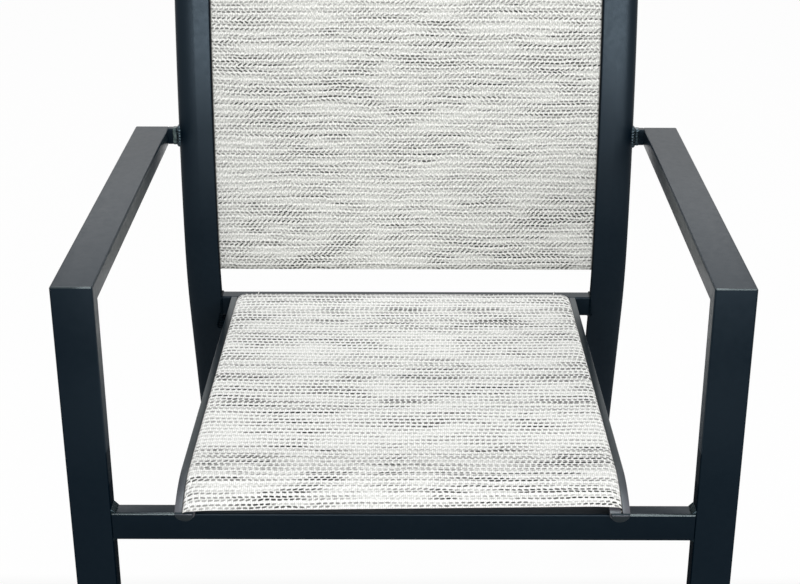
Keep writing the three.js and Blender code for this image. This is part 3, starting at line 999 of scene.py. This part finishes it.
def rail_station(angle):
    y = rail_bend_y - rail_radius * (math.sin(angle) + math.sin(rail_slope))
    z = rail_bend_z - rail_radius * (math.cos(rail_slope) - math.cos(angle))
    return station(y, z, angle)


def rail_stations(trim=0.0, bend=24, flat=10):
    first = rail_drop + (rail_overrun - trim) / rail_radius
    places = [rail_station(first + (-rail_slope - first) * i / bend) for i in range(bend + 1)]
    length = rail_rear - rail_bend_y - trim
    return places + [places[-1] @ shift(0, 0, length * i / flat) for i in range(1, flat + 1)]


def spread(bm):
    """The rails stand wider apart at the front, and everything on the seat follows them."""
    for v in bm.verts:
        share = max(-1.0, min(1.0, v.co.x / flat_half))
        v.co.x += share * rail_spread * (rail_rear - v.co.y) / (rail_rear - front + rail_reach)
    return bm


def d_shape(half, depth, edge):
    """A D with its flat side up, drawn from the flat's one end round the belly to its other end."""
    return (
        arc(-half + edge, -edge, edge, edge, 90, 180, 3)
        + arc(0, -edge, half, depth - edge, 180, 360, 40)[1:-1]
        + arc(half - edge, -edge, edge, edge, 0, 90, 3)
    )


def rail_outline():
    slot_x = rail_slot_from_edge - rail_width / 2
    mouth = math.degrees(math.asin(slot_half / channel_radius))
    return (
        d_shape(rail_width / 2, rail_depth, rail_edge)
        + [(slot_x + slot_half, 0)]
        + arc(slot_x, -channel_depth, channel_radius, channel_radius, 90 - mouth, mouth - 270, 24)
        + [(slot_x - slot_half, 0)]
    )


def seat_rail():
    return spread(sweep(inward(rail_outline(), rail_centre), rail_stations()))


def rail_cap():
    """The cap in the rail's front end, a little smaller than the rail and set off towards its outer side."""
    end = rail_station(rail_drop + rail_overrun / rail_radius)
    shape = d_shape(rail_width / 2 - cap_inset, rail_depth - cap_shallower, cap_edge)
    outline = inward(shape, rail_centre + cap_offset)
    bm = sweep(outline, [end @ shift(z=-gap / 2), end @ shift(z=-cap_length)])
    tip = [e for e in bm.edges if all((end.inverted() @ v.co).z < near - cap_length for v in e.verts)]
    soften(bm, tip, cap_round)
    return spread(bm)


def rail_welds():
    """A bead round the rail's belly on the rear bar, and one on each side where it lies on the front bar."""
    belly = arc(rail_centre, rear_bar_high.z, rail_width / 2, rail_depth, 190, 350, 30)
    beads = [weld([(x, rear_bar_low.y, z) for x, z in belly], (0, 1, 0), belly_weld)]
    z = front_bar_high.z
    for x in (rail_centre - side_weld_from_middle, rail_centre + side_weld_from_middle):
        line = [(x, front_bar_low.y + side_weld_trim, z), (x, front_bar_high.y, z)]
        beads.append(weld(line, (0, 0, 1), side_weld))
    return spread(joined(*beads))


rails = pair("rail", seat_rail(), rail_coat, "powder_coat", "seat_rail", smooth=30)
caps = pair("rail_cap", rail_cap(), plastic, "plastic", "rail_front_cap")
for cap in caps:
    # Painted highlight on the caps' front faces
    cover_faces(cap, cap_highlight_coat, lambda face: face.normal.y < -0.6 and face.normal.z > -0.1)

seat_parts = [*rails, *caps, *pair("rail_welds", rail_welds(), weld_coat, "powder_coat", smooth=60)]


# Slings


def loop_neck():
    """Half the gap in the loop where the cloth leaves it, in degrees."""
    return math.degrees(math.asin(cloth_thickness / 2 / loop_radius))


def loop_round_rod(x, y, leaves_at):
    return arc(x, y, loop_radius, loop_radius, leaves_at - loop_neck() - 350, leaves_at - loop_neck(), 20)


def seat_line():
    """The seat's section on the right side: round the rod, up out of the slot and rolled onto the flat."""
    roll = arc(rail_slot - roll_radius, cloth_thickness / 2, roll_radius, roll_radius, 0, 90, 8)
    return loop_round_rod(rail_slot, -channel_depth, 90) + roll


def back_line():
    """The back's section on the right side: round the rod and straight out of the slot."""
    inner = upright_low.x
    leave = [(inner - straight_out, 0.0), (inner - channel_depth, 0.0)]
    return loop_round_rod(inner + channel_depth, 0.0, 180) + leave


def sling(line, stations, across=48):
    """A cloth sheet: its section from loop to loop, carried along the stations, with its weave's UV map."""
    left = [(-x, y) for x, y in line]
    width = line[-1][0] * 2
    shares = [0.5 - 0.5 * math.cos(math.pi * i / across) for i in range(1, across)]
    flat = [(line[-1][0] - width * share, line[-1][1]) for share in shares]
    section = line + flat + left[::-1]
    lengths = [0.0]
    for a, b in zip(section, section[1:]):
        lengths.append(lengths[-1] + math.dist(a, b))
    bm = bmesh.new()
    u_layer = bm.verts.layers.float.new("across")
    v_layer = bm.verts.layers.float.new("along")
    verts, edges = start_outline(bm, section, stations[0], closed=False)
    for vert, length in zip(verts, lengths):
        vert[u_layer] = length - lengths[-1] / 2
    total = 0.0
    for before, after in zip(stations, stations[1:]):
        edges = extend(bm, edges, after @ before.inverted())
        total += (after.translation - before.translation).length
        for vert in {v for e in edges for v in e.verts}:
            vert[v_layer] = total
    uv = bm.loops.layers.uv.new("weave")
    for face in bm.faces:
        for loop in face.loops:
            loop[uv].uv = (loop.vert[u_layer], loop.vert[v_layer])
    return bm, lengths[-1], total


corner_droop = 1.6 * mm
droop_width = 30 * mm
front_skew = 3.0 * mm
front_run = 40 * mm
corner_cut = 18 * mm
cut_width = 12 * mm
rear_run = 50 * mm
rear_overlap = 3.5 * mm
seat_sag = 1.5 * mm


def shape_seat(bm, length):
    """The front edge is cut a little askew, the front corners droop and the rear corners are cut round."""
    along = bm.verts.layers.float["along"]
    for v in bm.verts:
        inset = max(0.0, rail_slot - abs(v.co.x))
        near_front = max(0.0, 1 - v[along] / front_run)
        near_rear = max(0.0, 1 - (length - v[along]) / rear_run)
        reach = corner_droop * max(0.0, 1 - inset / droop_width) ** 2 - front_skew * v.co.x / flat_half
        corner = 1 - math.sqrt(1 - max(0.0, 1 - inset / cut_width) ** 2)
        cut = corner_cut * corner - rear_overlap * (1 - corner)
        middle = max(0.0, 1 - (v.co.x / flat_half) ** 2) * math.sin(math.pi * v[along] / length) ** 2
        v.co.y -= reach * near_front * math.cos(rail_drop) + cut * near_rear
        v.co.z -= reach * near_front * math.sin(rail_drop) + seat_sag * middle
    return spread(bm)


thread_side = 183.5 * mm
thread_y = 177.5 * mm
thread_above_bar = 3.6 * mm
thread_radius = 0.6 * mm
thread_step = 0.9 * mm
thread_taper = 0.94
thread_lean = math.radians(-60)


def loose_thread(x, bend):
    """A white thread end that leans out of the weave at the seat's rear edge."""
    stations = [shift(x, thread_y, rear_bar_high.z + thread_above_bar)]
    lean = Matrix.Rotation(thread_lean, 4, "X")
    for _ in range(8):
        step = lean @ Matrix.Rotation(bend, 4, "Y") @ shift(z=thread_step) @ Matrix.Scale(thread_taper, 4)
        stations.append(stations[-1] @ step)
        lean = Matrix.Identity(4)
    return sweep(arc(0, 0, thread_radius, thread_radius, 0, 360, 8)[:-1], stations)


def thicken(obj):
    solid = obj.modifiers.new("thickness", "SOLIDIFY")
    solid.thickness = cloth_thickness
    solid.offset = 0


bm, seat_width, seat_length = sling(seat_line(), rail_stations(front_trim, flat=40))
seat = piece("seat_cloth", shape_seat(bm, seat_length), seat_weave, "sling", "seat_sling", smooth=80)
thicken(seat)
for part in [*seat_parts, seat]:
    for v in part.data.vertices:
        v.co.x += seat_offset + seat_turn * (v.co.y - front) / (rail_rear - front)

back_stations = upright_stations(back_cloth_low.z + back_trim, back_cloth_high.z - back_trim)
bm, back_width, back_length = sling(back_line(), back_stations)
back = piece("back_cloth", bm, back_weave, "sling", "back_sling", smooth=80)
thicken(back)

threads = joined(loose_thread(-thread_side, 0.03), loose_thread(thread_side, 0.09))
piece("loose_threads", threads, rod, "sling")

for side in ("left", "right"):
    for node in ("seat_spline", "back_spline"):
        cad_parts[f"{side}_{node}"].data.materials[0] = rod


# Floor, backdrop and light


floor_radius = 7
floor_grey = (0.34, 0.34, 0.34, 1)
floor_white = 1.05
white_share = 0.92
white_behind = (-0.15, 0.2)
white_far_away = (2.1, 3.7)
sky_light = 0.3


def make_floor():
    """A plain floor, grey under the chair and in front of it, and white behind it and far away."""
    n = Nodes("floor")
    n.set(Base_Color=floor_grey, Roughness=0.9, IOR=1.1)
    white = n.add("Emission")
    white.inputs["Strength"].default_value = floor_white
    parts = n.add("SeparateXYZ")
    n.link(n.place(), parts.inputs[0])
    x, y = parts.outputs[0], parts.outputs[1]
    behind = n.range(y, *white_behind, 0, white_share)
    away = n.maths("SQRT", n.maths("ADD", n.maths("POWER", x, 2), n.maths("POWER", y, 2)))
    lift = n.maths("MAXIMUM", behind, n.range(away, *white_far_away, 0, white_share))
    blend = n.add("MixShader")
    n.link(lift, blend.inputs[0])
    n.link(n.shader.outputs[0], blend.inputs[1])
    n.link(white.outputs[0], blend.inputs[2])
    n.link(blend.outputs[0], n.tree.nodes["Material Output"].inputs["Surface"])
    bm = bmesh.new()
    bmesh.ops.create_circle(bm, cap_ends=True, radius=floor_radius, segments=96)
    mesh = bpy.data.meshes.new("floor")
    bm.to_mesh(mesh)
    bm.free()
    mesh.materials.append(n.material)
    obj = bpy.data.objects.new("floor", mesh)
    scene.collection.objects.link(obj)


def make_world():
    """Even sky light on the chair; the camera and reflections see the white backdrop."""
    world = bpy.data.worlds.new("studio")
    scene.world = world
    world.use_nodes = True
    tree = world.node_tree
    path = tree.nodes.new("ShaderNodeLightPath")
    seen = path.outputs["Is Camera Ray"]
    for ray in ("Is Glossy Ray", "Is Transmission Ray"):
        either = tree.nodes.new("ShaderNodeMath")
        either.operation = "MAXIMUM"
        tree.links.new(seen, either.inputs[0])
        tree.links.new(path.outputs[ray], either.inputs[1])
        seen = either.outputs[0]
    strength = tree.nodes.new("ShaderNodeMapRange")
    tree.links.new(seen, strength.inputs[0])
    strength.inputs["To Min"].default_value = sky_light
    strength.inputs["To Max"].default_value = 1
    tree.links.new(strength.outputs[0], tree.nodes["Background"].inputs["Strength"])
    tree.nodes["Background"].inputs["Color"].default_value = (1, 1, 1, 1)


def softbox(name, place, aim, width, height, power):
    data = bpy.data.lights.new(name, "AREA")
    data.shape = "RECTANGLE"
    data.size, data.size_y, data.energy = width, height, power
    lamp = bpy.data.objects.new(name, data)
    scene.collection.objects.link(lamp)
    turn = (Vector(aim) - Vector(place)).to_track_quat("-Z", "Y")
    lamp.matrix_world = shift(*place) @ turn.to_matrix().to_4x4()


make_floor()
make_world()
softbox("top_softbox", place=(0, 0, 2.8), aim=(0, 0, 0.3), width=1.2, height=1.2, power=34)
softbox("front_softbox", place=(0.45, -2.8, 1.15), aim=(0, 0, 0.8), width=2.4, height=0.8, power=68)
softbox("rear_softbox", place=(0, 2.8, 2.95), aim=(0, 0, 0.8), width=3.2, height=2.0, power=38)
scene.view_settings.view_transform = "Standard"
